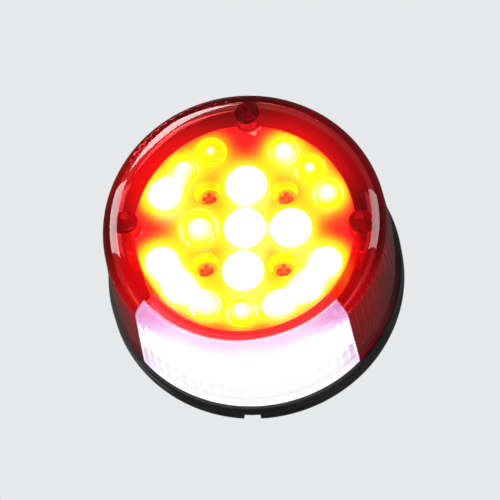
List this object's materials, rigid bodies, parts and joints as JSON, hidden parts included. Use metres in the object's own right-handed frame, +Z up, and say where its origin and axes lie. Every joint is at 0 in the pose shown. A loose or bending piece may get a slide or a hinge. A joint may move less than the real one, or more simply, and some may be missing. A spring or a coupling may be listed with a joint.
{
  "type": "motorcycle tail light",
  "caption": "Round red LED tail light with a clear window that lights the number plate, a rubber gasket, and rear studs with nuts for a cowl.",
  "frame": {"origin": "centre of the mounting face, the back of the rubber gasket, midway between the two studs", "axes": "+Z up; the lens faces -Y and the studs point along +Y; +X is to the right seen from behind the motorcycle; the number-plate window faces -Z"},
  "size_m": [0.056, 0.0502, 0.056],
  "materials": {
    "rubber": "matt black EPDM rubber",
    "black_nylon": "fine-grained black moulded nylon",
    "red_lens": "polished transparent red acrylic",
    "clear_lens": "polished clear acrylic with a faint diffusing grain inside",
    "circuit_board": "green solder mask on glass epoxy",
    "reflector_mirror": "vacuum-metallised plastic",
    "red_led": "clear-red epoxy dome, lit",
    "steel": "bright zinc-plated steel",
    "component_black": "black moulded component body",
    "white_plastic": "opaque white nylon",
    "flex_board": "white-faced flexible circuit",
    "white_led": "white LED package with a phosphor face, lit"
  },
  "bodies": {
    "lamp": {"mounting_gasket": "rubber", "lens_seal": "rubber", "cable_gland": "rubber", "housing": "black_nylon", "breather_cap": "black_nylon", "red_lens": "red_lens", "plate_light_window": "clear_lens", "led_board": "circuit_board", "reflector": "reflector_mirror", "red_led_01": "red_led", "red_led_02": "red_led", "red_led_03": "red_led", "red_led_04": "red_led", "red_led_05": "red_led", "red_led_06": "red_led", "red_led_07": "red_led", "red_led_08": "red_led", "red_led_09": "red_led", "red_led_10": "red_led", "red_led_11": "red_led", "red_led_12": "red_led", "red_led_13": "red_led", "red_led_14": "red_led", "red_led_15": "red_led", "red_led_16": "red_led", "red_led_17": "red_led", "red_led_18": "red_led", "board_screw_1": "steel", "board_screw_2": "steel", "board_screw_3": "steel", "board_screw_4": "steel", "lens_screw_1": "steel", "lens_screw_2": "steel", "lens_screw_3": "steel", "left_stud": "steel", "right_stud": "steel", "string_resistor_1": "component_black", "string_resistor_2": "component_black", "string_resistor_3": "component_black", "string_resistor_4": "component_black", "string_resistor_5": "component_black", "string_resistor_6": "component_black", "dimming_resistor": "component_black", "voltage_regulator": "component_black", "protection_diode": "component_black", "wire_terminal": "white_plastic", "light_divider": "white_plastic", "plate_light_board": "flex_board", "white_led_1": "white_led", "white_led_2": "white_led", "white_led_3": "white_led"},
    "left_washers": {"left_washer": "steel", "left_spring_washer": "steel"},
    "left_nut": {"left_nut": "steel"},
    "right_washers": {"right_washer": "steel", "right_spring_washer": "steel"},
    "right_nut": {"right_nut": "steel"}
  },
  "joints": [
    {"name": "left_washer_slide", "type": "slide", "parent": "lamp", "child": "left_washers", "axis": [0, 1, 0], "range_m": [0, 0.008]},
    {"name": "left_nut_turn", "type": "hinge", "parent": "left_washers", "child": "left_nut", "pos_m": [-0.015, 0, 0], "axis": [0, 1, 0], "range_deg": [0, 3600]},
    {"name": "right_washer_slide", "type": "slide", "parent": "lamp", "child": "right_washers", "axis": [0, 1, 0], "range_m": [0, 0.008]},
    {"name": "right_nut_turn", "type": "hinge", "parent": "right_washers", "child": "right_nut", "pos_m": [0.015, 0, 0], "axis": [0, 1, 0], "range_deg": [0, 3600]}
  ],
  "couplings": [
    {"joint": "left_nut_turn", "follows": "left_washer_slide", "rad_per_m": 7854},
    {"joint": "right_nut_turn", "follows": "right_washer_slide", "rad_per_m": 7854}
  ]
}
